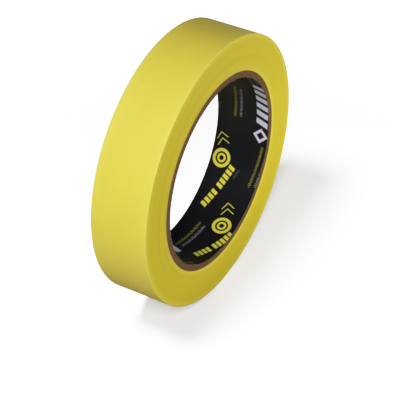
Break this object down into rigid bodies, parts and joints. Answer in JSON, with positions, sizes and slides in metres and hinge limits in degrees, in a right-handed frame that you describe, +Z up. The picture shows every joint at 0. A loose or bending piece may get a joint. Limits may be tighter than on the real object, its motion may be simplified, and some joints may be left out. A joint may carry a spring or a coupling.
{
  "type": "masking tape roll",
  "caption": "Roll of paper masking tape on a laminated board core with a printed liner, standing on its tread; the free end of the tape peels off and curls.",
  "frame": {"origin": "centre of the core bore at half the roll's width", "axes": "+Y along the bore, with the front face towards -Y; +Z up, with the roll standing on its tread; +X to the right of the front face"},
  "size_m": [0.111, 0.024, 0.111],
  "materials": {
    "tape": "matte",
    "core_board": "matte",
    "core_kraft": "matte",
    "core_liner": "satin"
  },
  "bodies": {
    "roll": {"core_liner": "core_liner", "core_ply_1": "core_board", "core_ply_2": "core_board", "core_ply_3": "core_board", "core_ply_4": "core_board", "core_ply_5": "core_board", "core_outer_ply": "core_kraft", "tape_windings": "tape", "outer_lap": "tape"},
    "lead_01": {"lead_01": "tape"},
    "lead_02": {"lead_02": "tape"},
    "lead_03": {"lead_03": "tape"},
    "lead_04": {"lead_04": "tape"},
    "lead_05": {"lead_05": "tape"},
    "lead_06": {"lead_06": "tape"},
    "lead_07": {"lead_07": "tape"},
    "lead_08": {"lead_08": "tape"},
    "lead_09": {"lead_09": "tape"},
    "lead_10": {"lead_10": "tape"},
    "lead_11": {"lead_11": "tape"},
    "lead_12": {"lead_12": "tape"}
  },
  "joints": [
    {"name": "lead_lift", "type": "hinge", "parent": "roll", "child": "lead_01", "pos_m": [0.05466, 0, -0.00964], "axis": [0, -1, 0], "range_deg": [0, 120]},
    {"name": "lead_bend", "type": "hinge", "parent": "lead_01", "child": "lead_02", "pos_m": [0.054, 0, -0.0128], "axis": [0, -1, 0], "range_deg": [0, 10]},
    {"name": "lead_bend_03", "type": "hinge", "parent": "lead_02", "child": "lead_03", "pos_m": [0.05317, 0, -0.01592], "axis": [0, -1, 0], "range_deg": [0, 10]},
    {"name": "lead_bend_04", "type": "hinge", "parent": "lead_03", "child": "lead_04", "pos_m": [0.05215, 0, -0.01898], "axis": [0, -1, 0], "range_deg": [0, 10]},
    {"name": "lead_bend_05", "type": "hinge", "parent": "lead_04", "child": "lead_05", "pos_m": [0.05096, 0, -0.02198], "axis": [0, -1, 0], "range_deg": [0, 10]},
    {"name": "lead_bend_06", "type": "hinge", "parent": "lead_05", "child": "lead_06", "pos_m": [0.0496, 0, -0.02491], "axis": [0, -1, 0], "range_deg": [0, 10]},
    {"name": "lead_bend_07", "type": "hinge", "parent": "lead_06", "child": "lead_07", "pos_m": [0.04806, 0, -0.02775], "axis": [0, -1, 0], "range_deg": [0, 10]},
    {"name": "lead_bend_08", "type": "hinge", "parent": "lead_07", "child": "lead_08", "pos_m": [0.04637, 0, -0.0305], "axis": [0, -1, 0], "range_deg": [0, 10]},
    {"name": "lead_bend_09", "type": "hinge", "parent": "lead_08", "child": "lead_09", "pos_m": [0.04452, 0, -0.03314], "axis": [0, -1, 0], "range_deg": [0, 10]},
    {"name": "lead_bend_10", "type": "hinge", "parent": "lead_09", "child": "lead_10", "pos_m": [0.04251, 0, -0.03567], "axis": [0, -1, 0], "range_deg": [0, 10]},
    {"name": "lead_bend_11", "type": "hinge", "parent": "lead_10", "child": "lead_11", "pos_m": [0.04037, 0, -0.03809], "axis": [0, -1, 0], "range_deg": [0, 10]},
    {"name": "lead_bend_12", "type": "hinge", "parent": "lead_11", "child": "lead_12", "pos_m": [0.03809, 0, -0.04037], "axis": [0, -1, 0], "range_deg": [0, 10]}
  ],
  "couplings": [
    {"joint": "lead_bend_03", "follows": "lead_bend", "ratio": 1},
    {"joint": "lead_bend_04", "follows": "lead_bend", "ratio": 1},
    {"joint": "lead_bend_05", "follows": "lead_bend", "ratio": 1},
    {"joint": "lead_bend_06", "follows": "lead_bend", "ratio": 1},
    {"joint": "lead_bend_07", "follows": "lead_bend", "ratio": 1},
    {"joint": "lead_bend_08", "follows": "lead_bend", "ratio": 1},
    {"joint": "lead_bend_09", "follows": "lead_bend", "ratio": 1},
    {"joint": "lead_bend_10", "follows": "lead_bend", "ratio": 1},
    {"joint": "lead_bend_11", "follows": "lead_bend", "ratio": 1},
    {"joint": "lead_bend_12", "follows": "lead_bend", "ratio": 1}
  ]
}
